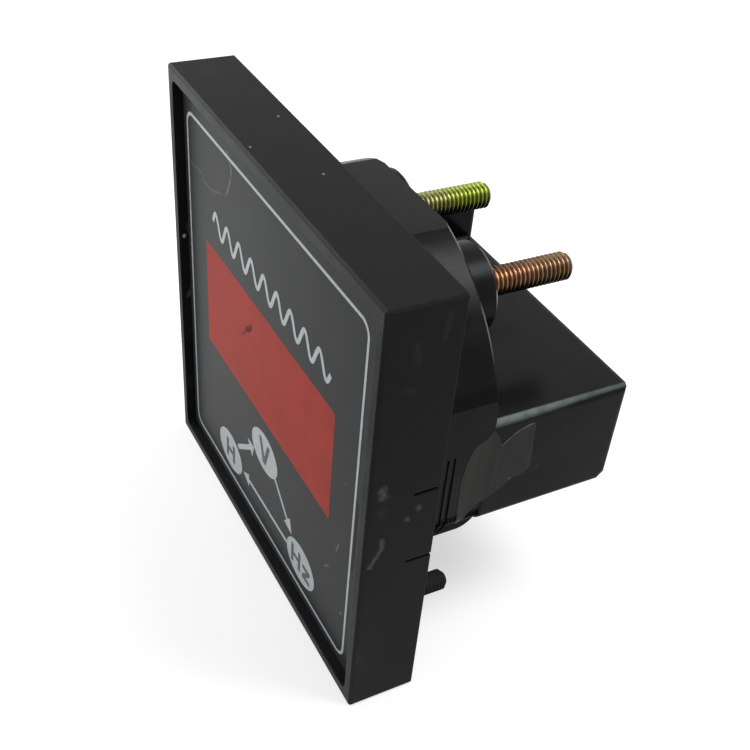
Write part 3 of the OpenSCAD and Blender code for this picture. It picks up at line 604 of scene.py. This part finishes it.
def board_laminate(name):
    """Green solder mask with a faint weave and tracks under it."""
    g = Graph(name, Specular_IOR_Level=0.5)
    weave = g.noise(0.5, 2.0, 0.5, g.stretched((1.0, 0.3, 1.0)))
    track = g.add("ShaderNodeTexVoronoi", feature="DISTANCE_TO_EDGE", distance="MANHATTAN")
    track.inputs["Scale"].default_value = 1000.0 / 3.2
    g.link(g.place, track.inputs["Vector"])
    line = g.spread(track.outputs["Distance"], 0.06, 0.09, 1.0, 0.0)
    base = g.mix(g.spread(weave, 0.35, 0.7), (0.030, 0.12, 0.055), (0.040, 0.15, 0.070))
    g.out("Base Color", g.mix(g.math("MULTIPLY", line, 0.7), base, (0.075, 0.24, 0.11)))
    g.out("Roughness", g.spread(weave, 0.3, 0.7, 0.28, 0.4))
    g.bump(line, 0.03, 0.5)
    return g.material


def brushed_metal(name, dark, pale):
    """Plated or tinned metal with fine drawn lines."""
    g = Graph(name, Metallic=1.0)
    drawn = g.noise(0.3, 2.0, 0.6, g.stretched((1.0, 0.15, 1.0)))
    g.out("Base Color", g.mix(g.spread(drawn, 0.3, 0.7), dark, pale))
    g.out("Roughness", g.spread(drawn, 0.3, 0.7, 0.24, 0.42))
    g.bump(drawn, 0.006, 0.5)
    return g.material


# ---------------------------------------------------------------- meshes


def add_piece(name, verts, faces, material, slot, smooth_deg=None):
    """A closed mesh piece that rides on the part's one body."""
    mesh = bpy.data.meshes.new(name)
    mesh.from_pydata(verts, [], faces)
    tidy = bmesh.new()
    tidy.from_mesh(mesh)
    bmesh.ops.remove_doubles(tidy, verts=tidy.verts, dist=1e-7)
    bmesh.ops.recalc_face_normals(tidy, faces=tidy.faces)
    tidy.to_mesh(mesh)
    tidy.free()
    if smooth_deg:
        mesh.shade_smooth()
        mesh.set_sharp_from_angle(angle=math.radians(smooth_deg))
    mesh.materials.append(material)
    piece = bpy.data.objects.new(name, mesh)
    bpy.context.scene.collection.objects.link(piece)
    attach(piece, "root")
    return piece


def plate(outline, y_front, y_back):
    """Vertices and faces of a flat plate whose outline is a list of (x, z) points."""
    count = len(outline)
    verts = [mm(x, y, z) for y in (y_front, y_back) for x, z in outline]
    faces = [tuple(range(count)), tuple(range(2 * count - 1, count - 1, -1))]
    for i in range(count):
        j = (i + 1) % count
        faces.append((i, j, count + j, count + i))
    return verts, faces


def ribbon(points, width, y_front, y_back, closed=False):
    """Vertices and faces of a flat stroke of this width along a list of (x, z) points."""
    count = len(points)
    sides = [[], []]
    for i, (x, z) in enumerate(points):
        before = points[i - 1] if closed or i else points[0]
        after = points[(i + 1) % count] if closed or i < count - 1 else points[-1]
        along = Vector((after[0] - before[0], after[1] - before[1])).normalized()
        for side, sign in zip(sides, (1, -1)):
            side.append((x - sign * along.y * width / 2, z + sign * along.x * width / 2))
    if not closed:
        return plate(sides[0] + sides[1][::-1], y_front, y_back)
    verts = [mm(x, y, z) for y in (y_front, y_back) for side in sides for x, z in side]
    faces = []
    for i in range(count):
        j = (i + 1) % count
        outer, inner = (i, j), (count + i, count + j)
        faces.append((outer[0], outer[1], inner[1], inner[0]))
        faces.append(tuple(2 * count + k for k in (inner[0], inner[1], outer[1], outer[0])))
        faces.append((outer[0], outer[1], 2 * count + outer[1], 2 * count + outer[0]))
        faces.append((inner[1], inner[0], 2 * count + inner[0], 2 * count + inner[1]))
    return verts, faces


def joined(shapes):
    """One list of vertices and one of faces from several shapes."""
    verts, faces = [], []
    for more_verts, more_faces in shapes:
        start = len(verts)
        verts += more_verts
        faces += [tuple(start + k for k in face) for face in more_faces]
    return verts, faces


def round_rect(half_w, half_h, radius, steps=10):
    """The outline of a rectangle with round corners."""
    points = []
    for corner, (sx, sz) in enumerate(((1, 1), (-1, 1), (-1, -1), (1, -1))):
        for i in range(steps + 1):
            angle = math.radians(90 * corner + 90 * i / steps)
            points.append((sx * (half_w - radius) + radius * math.cos(angle),
                           sz * (half_h - radius) + radius * math.sin(angle)))
    return points


def oval(centre, half_w, half_h, steps=48):
    """The outline of an oval."""
    return [(centre[0] + half_w * math.cos(2 * math.pi * i / steps),
             centre[1] + half_h * math.sin(2 * math.pi * i / steps)) for i in range(steps)]


def moved(outline, x, z):
    return [(px + x, pz + z) for px, pz in outline]


def letter_h(height, width, stroke):
    """The outline of a capital H, centred on its middle."""
    w, h, s = width / 2, height / 2, stroke
    bar = s * 0.45
    return [(-w, -h), (-w + s, -h), (-w + s, -bar), (w - s, -bar), (w - s, -h), (w, -h),
            (w, h), (w - s, h), (w - s, bar), (-w + s, bar), (-w + s, h), (-w, h)]


def letter_v(height, width, stroke):
    """The outline of a capital V, centred on its middle."""
    w, h, s = width / 2, height / 2, stroke
    return [(-w, h), (-s * 0.6, -h), (s * 0.6, -h), (w, h), (w - s * 1.1, h),
            (0, -h + s * 1.5), (-w + s * 1.1, h)]


def letter_z(height, width, stroke):
    """The outline of a small z, centred on its middle."""
    w, h, s = width / 2, height / 2, stroke
    return [(-w, -h), (w, -h), (w, -h + s), (-w + s * 1.5, -h + s), (w, h - s), (w, h),
            (-w, h), (-w, h - s), (w - s * 1.5, h - s), (-w, -h + s)]


def arrow(start, end, stroke, head_w, head_len):
    """A plain arrow between two (x, z) places: its shaft and its head."""
    tail, tip = Vector(start), Vector(end)
    along = (tip - tail).normalized()
    across = Vector((-along.y, along.x))
    neck = tip - along * head_len
    outline = [tail + across * stroke / 2, neck + across * stroke / 2, neck + across * head_w / 2, tip,
               neck - across * head_w / 2, neck - across * stroke / 2, tail - across * stroke / 2]
    return [tuple(point) for point in outline]


# ---------------------------------------------------------------- face print


def frame_plate(outer, inner, y_front, y_back):
    """Vertices and faces of a flat plate with an opening; both outlines have as many points."""
    count = len(outer)
    verts = [mm(x, y, z) for y in (y_front, y_back) for side in (outer, inner) for x, z in side]
    faces = []
    for i in range(count):
        j = (i + 1) % count
        faces.append((i, j, count + j, count + i))
        faces.append((2 * count + i, 3 * count + i, 3 * count + j, 2 * count + j))
        faces.append((i, 2 * count + i, 2 * count + j, j))
        faces.append((count + i, count + j, 3 * count + j, 3 * count + i))
    return verts, faces


def add_film(label, red):
    """The printed film over label and lens: a grey field round the red window."""
    low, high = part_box("face_label")
    back = low.y * 1000
    half = (high.x - low.x) * 500
    outer = round_rect(half, half, FILM_CORNER_R, 4)
    window = round_rect((WINDOW_RIGHT - WINDOW_LEFT) / 2, (WINDOW_HIGH - WINDOW_LOW) / 2, 0.25, 4)
    window = moved(window, (WINDOW_RIGHT + WINDOW_LEFT) / 2, (WINDOW_HIGH + WINDOW_LOW) / 2)
    add_piece("film_grey_field", *frame_plate(outer, window, back - INK_T, back), label, "label_grey")
    add_piece("film_red_window", *plate(window, back - INK_T, back), red, "window_red")
    return back - INK_T


def print_face(light, dark, film_y):
    """The border, the unit marks, the arrows between them and the plain motif above the window."""
    ink = film_y - INK_T
    top_ink = ink - INK_T
    border = moved(round_rect(BORDER_HALF, BORDER_HALF, BORDER_CORNER_R), *BORDER_AT)
    add_piece("border_line", *ribbon(border, BORDER_LINE, ink, film_y, closed=True), light, "label_grey")
    for name, centre in (("hours", MARK_HOURS_AT), ("volts", MARK_VOLTS_AT), ("hertz", MARK_HERTZ_AT)):
        outline = oval(centre, MARK_HALF_W, MARK_HALF_H)
        add_piece(f"mark_disc_{name}", *plate(outline, ink, film_y), light, "label_grey")
    signs = {
        "hours": [moved(letter_h(3.5, 3.4, 0.8), *MARK_HOURS_AT)],
        "volts": [moved(letter_v(4.2, 3.9, 0.8), *MARK_VOLTS_AT)],
        "hertz": [moved(letter_h(3.6, 3.1, 0.72), MARK_HERTZ_AT[0] - 1.5, MARK_HERTZ_AT[1]),
                  moved(letter_z(2.6, 2.4, 0.68), MARK_HERTZ_AT[0] + 2.0, MARK_HERTZ_AT[1] - 0.5)],
    }
    for name, outlines in signs.items():
        shape = joined([plate(outline, top_ink, ink) for outline in outlines])
        add_piece(f"mark_sign_{name}", *shape, dark, "label_grey")
    arrows = {
        "arrow_hours_volts": arrow((-11.0, -20.9), (-4.7, -16.0), 0.85, 3.0, 1.9),
        "arrow_volts_hertz": arrow((3.2, -15.7), (9.4, -21.3), 0.65, 2.9, 2.3),
        "arrow_hertz_hours": arrow((8.0, -24.3), (-8.9, -24.45), 0.6, 2.4, 2.3),
    }
    for name, outline in arrows.items():
        add_piece(name, *plate(outline, ink, film_y), light, "label_grey")
    add_motif(light, ink, film_y)


def add_motif(light, ink, film_y):
    """A bold sine wave in place of a title."""
    length = BAND_RIGHT - BAND_LEFT
    rise = (BAND_H - WAVE_LINE) / 2
    steps = 24 * WAVE_COUNT
    wave = []
    for i in range(steps + 1):
        share = i / steps
        wave.append((BAND_LEFT + length * share,
                     BAND_MIDDLE + rise * math.sin(2 * math.pi * WAVE_COUNT * share)))
    add_piece("wave_motif", *ribbon(wave, WAVE_LINE, ink, film_y), light, "label_grey")


# ---------------------------------------------------------------- studs


def thread_surface(cx, cz, y_start, y_end):
    """Vertices and faces of an M4 thread between two levels, with its tip broken at 45 degrees
    and a plain end at y_start."""
    root_r = THREAD_R - THREAD_DEPTH_SHARE * THREAD_PITCH
    profile = [(0.0, root_r), (0.25, root_r), (0.5625, THREAD_R), (0.6875, THREAD_R)]
    columns = 56
    turns = math.ceil((y_end - y_start) / THREAD_PITCH) + 3
    verts, faces = [], []
    for turn in range(turns):
        for share, profile_r in profile:
            for column in range(columns):
                along = (turn - 2 + share + column / columns) * THREAD_PITCH
                y = min(max(y_start + along, y_start), y_end)
                limit = THREAD_R - STUD_BREAK + (y_end - y)
                radius = SHANK_R if y <= y_start else min(profile_r, limit)
                if y >= y_end:
                    radius = THREAD_R - STUD_BREAK
                angle = 2 * math.pi * column / columns
                verts.append(mm(cx + radius * math.cos(angle), y, cz + radius * math.sin(angle)))
    rows = turns * len(profile)
    lead = len(profile)
    for row in range(rows - lead - 1):
        for column in range(columns - 1):
            a = row * columns + column
            faces.append((a, a + 1, a + columns + 1, a + columns))
        a = row * columns + columns - 1
        b = (row + lead) * columns
        faces.append((a, b, b + columns, a + columns))
    return verts, faces


def bolt_head(cx, cz, y_front, y_back):
    """Vertices and faces of a six-sided head whose front corners are cut round."""
    corner = HEAD_FLATS / 2 / math.cos(math.radians(30))
    rings = [(y_front, 0.86), (y_front + 0.35, 1.0), (y_back, 1.0)]
    steps = 6
    verts, faces = [], []
    for y, share in rings:
        for i in range(steps):
            angle = math.radians(60 * i)
            verts.append(mm(cx + corner * share * math.cos(angle), y, cz + corner * share * math.sin(angle)))
    for ring in range(len(rings) - 1):
        for i in range(steps):
            j = (i + 1) % steps
            a, b = ring * steps, (ring + 1) * steps
            faces.append((a + i, a + j, b + j, b + i))
    faces.append(tuple(range(steps)))
    faces.append(tuple(range(len(verts) - 1, len(verts) - steps - 1, -1)))
    return verts, faces


def add_stud(side, material, slot):
    """A threaded stud in place of the plain rod of the frame."""
    node = f"terminal_stud_{side}"
    low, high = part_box(node)
    cx, cz = (low.x + high.x) * 500, (low.z + high.z) * 500
    head_y, tip_y = low.y * 1000, high.y * 1000
    thread_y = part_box("drum_housing")[1].y * 1000
    shank_y = head_y + HEAD_H
    verts, faces = thread_surface(cx, cz, thread_y, tip_y)
    columns = 56
    start = len(verts)
    for y, radius in ((tip_y, THREAD_R - STUD_BREAK), (thread_y, SHANK_R), (shank_y, SHANK_R)):
        for column in range(columns):
            angle = 2 * math.pi * column / columns
            verts.append(mm(cx + radius * math.cos(angle), y, cz + radius * math.sin(angle)))
    tip_ring, thread_ring, shank_ring = (start + k * columns for k in range(3))
    faces.append(tuple(range(tip_ring, tip_ring + columns)))
    faces.append(tuple(range(shank_ring, shank_ring + columns)))
    for i in range(columns):
        j = (i + 1) % columns
        faces.append((thread_ring + i, thread_ring + j, shank_ring + j, shank_ring + i))
    shape = joined([(verts, faces), bolt_head(cx, cz, head_y, shank_y)])
    stud = add_piece(f"threaded_stud_{side}", *shape, material, slot, smooth_deg=28)
    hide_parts(node)
    return stud


# ---------------------------------------------------------------- tape


def torn_outline():
    """The tape's outline in short steps, each moved a little so that the edge looks torn. It uses
    noise.noise because noise.noise_vector gives other values from run to run."""
    points = []
    count = len(TAPE_OUTLINE)
    for i in range(count):
        before, here, after, beyond = (TAPE_OUTLINE[(i + k) % count] for k in (-1, 0, 1, 2))
        steps = max(2, round(math.dist(here, after) / TAPE_STEP))
        for step in range(steps):
            t = step / steps
            place = [0.5 * (2 * b + (c - a) * t + (2 * a - 5 * b + 4 * c - d) * t * t
                            + (3 * b - a - 3 * c + d) * t ** 3)
                     for a, b, c, d in zip(before, here, after, beyond)]
            spot = Vector((*place, 3.0)) * 2.6
            aside = noise.noise(spot) * TAPE_TEAR
            upward = noise.noise(spot + Vector((0.0, 0.0, 9.0))) * TAPE_TEAR
            points.append((place[0] + aside, place[1] + upward))
    return points


def points_within(rim):
    """Places in staggered rows inside an outline, clear of its points."""
    across, along = zip(*rim)
    row_gap = TAPE_GRID * math.sqrt(0.75)
    found = []
    for row in range(1, int((max(along) - min(along)) / row_gap) + 1):
        z = min(along) + row * row_gap
        for column in range(1, int((max(across) - min(across)) / TAPE_GRID) + 1):
            y = min(across) + (column + 0.5 * (row % 2)) * TAPE_GRID
            inside = False
            for a, b in zip(rim, rim[1:] + rim[:1]):
                if (a[1] > z) != (b[1] > z) and y < a[0] + (z - a[1]) * (b[0] - a[0]) / (b[1] - a[1]):
                    inside = not inside
            if inside and min(math.dist((y, z), place) for place in rim) > TAPE_GRID * 0.6:
                found.append((y, z))
    return found


def add_tape(material):
    """The torn tape as a finely divided sheet that lies on the side and follows the drum's curve.
    Its points and faces come in a fixed order, so each run makes the same mesh."""
    flat_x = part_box("seam_tape")[0].x * 1000
    rim = torn_outline()
    places = [Vector(place) for place in rim + points_within(rim)]
    places, _, sheet, _, _, _ = geometry.delaunay_2d_cdt(places, [], [list(range(len(rim)))], 1, 1e-5)
    outer, under = [], []
    for y, z in places:
        ripple = noise.noise(Vector((0.0, y, z * 0.35)) * 0.7) * 0.5 + 0.5
        surface_x = min(flat_x, math.sqrt(DRUM_R ** 2 - z ** 2))
        outer.append(mm(surface_x + 0.02 + 0.02 * ripple, y, z))
        under.append(mm(surface_x, y, z))
    count = len(places)
    sides = {(face[k - 1], face[k]) for face in sheet for k in range(3)}
    walls = [(a, b, count + b, count + a) for a, b in sorted(sides) if (b, a) not in sides]
    faces = [tuple(face) for face in sheet] + [tuple(count + k for k in reversed(face)) for face in sheet]
    tape = add_piece("torn_tape", outer + under, faces + walls, material, "tape_grey", smooth_deg=50)
    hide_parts("seam_tape")


# ---------------------------------------------------------------- materials on the frame's nodes


def dress(node, material):
    """Gives a node of the frame its material."""
    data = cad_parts[node].data
    data.materials.clear()
    data.materials.append(material)


def dress_outside():
    dress("front_bezel", bezel_plastic())
    dress("drum_housing", drum_plastic())
    dress("rear_case", case_plastic())
    dress("face_label", label_film())
    dress("window_lens", window_film())


def dress_inside():
    """Finishes of everything in the housing."""
    tin = brushed_metal("tinned_brass", (0.50, 0.50, 0.47), (0.66, 0.66, 0.63))
    steel = brushed_metal("zinc_steel", (0.44, 0.45, 0.47), (0.60, 0.61, 0.63))
    for side in ("left", "right"):
        dress(f"solder_lug_{side}", tin)
    dress("display_screws", steel)
    dress("case_screws", steel)
    dress("clock_crystal", brushed_metal("crystal_can", (0.52, 0.52, 0.53), (0.70, 0.70, 0.72)))
    dress("lead_wire_left", mottled("sleeve_black", (0.02, 0.02, 0.02), (0.035, 0.035, 0.035), 1.5).material)
    dress("lead_wire_right", mottled("sleeve_red", (0.36, 0.03, 0.025), (0.48, 0.05, 0.04), 1.5).material)
    dress("display_board", board_laminate("display_laminate"))
    dress("power_board", board_laminate("power_laminate"))
    board_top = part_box("power_board")[1].z * 1000
    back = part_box("display_board")[1].y * 1000
    above = (None, None, board_top)
    epoxy = ((0.018, 0.018, 0.020), (0.034, 0.034, 0.036))
    no_end = (None, None, None)
    bodies = {
        "microcontroller": ("controller_epoxy", *epoxy, (None, None, -0.55), (None, None, 6.95)),
        "memory_chip": ("memory_epoxy", *epoxy, (None, None, -11.45), (None, None, -7.55)),
        "bridge_rectifier": ("bridge_epoxy", *epoxy, above, no_end),
        "voltage_regulator": ("regulator_epoxy", *epoxy, (None, None, board_top + 1), no_end),
        "board_link_header": ("header_plastic", *epoxy, (None, DRUM_DEPTH + 0.3, None), no_end),
        "dropper_capacitor": ("box_yellow", (0.50, 0.32, 0.05), (0.62, 0.42, 0.08), above, no_end),
        "smoothing_capacitor": ("can_sleeve", (0.018, 0.022, 0.045), (0.034, 0.04, 0.075),
                                (3.5, None, board_top), no_end),
        "surge_varistor": ("dipped_blue", (0.03, 0.10, 0.34), (0.06, 0.16, 0.46),
                           (None, None, board_top + 0.5), no_end),
        "fuse_resistor": ("cement_coat", (0.20, 0.31, 0.28), (0.29, 0.40, 0.36),
                          (-12.9, None, board_top), (-5.9, None, None)),
        "trim_potentiometer": ("trimmer_plastic", (0.03, 0.10, 0.36), (0.06, 0.16, 0.48),
                               no_end, (None, back + 4, None)),
        "digit_display": ("display_resin", (0.30, 0.28, 0.26), (0.40, 0.38, 0.36),
                          no_end, (None, back - 1.6, None)),
    }
    for node, look in bodies.items():
        dress(node, body_with_leads(*look))


# ---------------------------------------------------------------- camera, lights and floor


def add_camera():
    """The camera, at the viewing angle of the finished picture."""
    azimuth, elevation, roll = (math.radians(a) for a in (AZIMUTH_DEG, ELEVATION_DEG, ROLL_DEG))
    back = Vector((math.sin(azimuth) * math.cos(elevation), -math.cos(azimuth) * math.cos(elevation),
                   math.sin(elevation)))
    level = back.cross(Vector((0, 0, -1))).normalized()
    level_up = level.cross(-back)
    right = math.cos(roll) * level + math.sin(roll) * level_up
    up = math.cos(roll) * level_up - math.sin(roll) * level
    data = bpy.data.cameras.new("camera")
    data.lens = LENS
    data.sensor_width = 36.0
    data.shift_x, data.shift_y = SHIFT
    data.clip_start = mm(10)
    data.clip_end = 50.0
    camera = bpy.data.objects.new("camera", data)
    turn = Matrix((right, up, back)).transposed().to_4x4()
    camera.matrix_world = Matrix.Translation(Vector(mm(*AIM)) + back * mm(DISTANCE)) @ turn
    bpy.context.scene.collection.objects.link(camera)
    bpy.context.scene.camera = camera


def add_lamp(name, direction, distance, size, power):
    """A soft square lamp that faces the part from this direction."""
    data = bpy.data.lights.new(name, "AREA")
    data.shape = "SQUARE"
    data.size = size
    data.energy = power
    lamp = bpy.data.objects.new(name, data)
    toward = Vector(direction).normalized()
    lamp.location = toward * distance
    lamp.rotation_euler = toward.to_track_quat("Z", "Y").to_euler()
    bpy.context.scene.collection.objects.link(lamp)


def seen_background(tree):
    """1 for rays that should meet the white background: camera, mirror and glass rays."""
    path = tree.nodes.new("ShaderNodeLightPath")
    total = path.outputs["Is Camera Ray"]
    for kind in ("Is Glossy Ray", "Is Transmission Ray"):
        add = tree.nodes.new("ShaderNodeMath")
        add.operation = "MAXIMUM"
        tree.links.new(total, add.inputs[0])
        tree.links.new(path.outputs[kind], add.inputs[1])
        total = add.outputs[0]
    return total


def floor_paper():
    """Pale matte paper that shows white to the camera and keeps the part's shadow."""
    material = bpy.data.materials.new("floor_paper")
    material.use_nodes = True
    tree = material.node_tree
    tree.nodes.clear()
    paper = tree.nodes.new("ShaderNodeBsdfDiffuse")
    paper.inputs["Color"].default_value = (0.55, 0.55, 0.55, 1.0)
    glow = tree.nodes.new("ShaderNodeEmission")
    glow.inputs["Color"].default_value = (1.0, 1.0, 1.0, 1.0)
    glow.inputs["Strength"].default_value = 0.55
    seen = tree.nodes.new("ShaderNodeAddShader")
    tree.links.new(paper.outputs[0], seen.inputs[0])
    tree.links.new(glow.outputs[0], seen.inputs[1])
    chosen = tree.nodes.new("ShaderNodeMixShader")
    tree.links.new(seen_background(tree), chosen.inputs[0])
    tree.links.new(paper.outputs[0], chosen.inputs[1])
    tree.links.new(seen.outputs[0], chosen.inputs[2])
    output = tree.nodes.new("ShaderNodeOutputMaterial")
    tree.links.new(chosen.outputs[0], output.inputs[0])
    return material


def add_floor():
    """A wide plain floor at the part's lowest point."""
    half = 4.0
    level = CAD_LOW.z
    mesh = bpy.data.meshes.new("floor")
    corners = [(-half, -half, level), (half, -half, level), (half, half, level), (-half, half, level)]
    mesh.from_pydata(corners, [], [(0, 1, 2, 3)])
    mesh.materials.append(floor_paper())
    floor = bpy.data.objects.new("floor", mesh)
    bpy.context.scene.collection.objects.link(floor)


def light_world():
    """A pale even sky, white where the camera or a mirror looks at it."""
    world = bpy.data.worlds.new("studio")
    bpy.context.scene.world = world
    world.use_nodes = True
    tree = world.node_tree
    tree.nodes.clear()
    room = tree.nodes.new("ShaderNodeBackground")
    room.inputs["Color"].default_value = (0.97, 0.98, 1.0, 1.0)
    room.inputs["Strength"].default_value = 0.5
    white = tree.nodes.new("ShaderNodeBackground")
    white.inputs["Color"].default_value = (1.0, 1.0, 1.0, 1.0)
    white.inputs["Strength"].default_value = 1.0
    chosen = tree.nodes.new("ShaderNodeMixShader")
    tree.links.new(seen_background(tree), chosen.inputs[0])
    tree.links.new(room.outputs[0], chosen.inputs[1])
    tree.links.new(white.outputs[0], chosen.inputs[2])
    output = tree.nodes.new("ShaderNodeOutputWorld")
    tree.links.new(chosen.outputs[0], output.inputs[0])


def build():
    bpy.context.scene.view_settings.view_transform = "Standard"
    add_camera()
    light_world()
    add_floor()
    add_lamp("key_lamp", (0.25, 0.43, 0.86), 0.5, 0.22, 1.6)
    add_lamp("fill_lamp", (-0.70, -0.45, 0.55), 0.20, 0.14, 0.28)
    dress_outside()
    dress_inside()
    label, red = (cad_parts[node].data.materials[0] for node in ("face_label", "window_lens"))
    film_y = add_film(label, red)
    print_face(light_ink(), dark_ink(), film_y)
    left_low, left_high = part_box("terminal_stud_left")
    right_low, right_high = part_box("terminal_stud_right")
    stud_z = (left_low.z + left_high.z) * 500
    stud_x = (right_low.x + right_high.x) * 500
    yellow = passivated("stud_passivated_yellow", (-stud_x, stud_z), YELLOW_TONES, 0.55)
    bronze = passivated("stud_passivated_bronze", (stud_x, stud_z), BRONZE_TONES, 0.45)
    add_stud("left", yellow, "stud_yellow")
    add_stud("right", bronze, "stud_bronze")
    add_tape(dull_tape())


build()
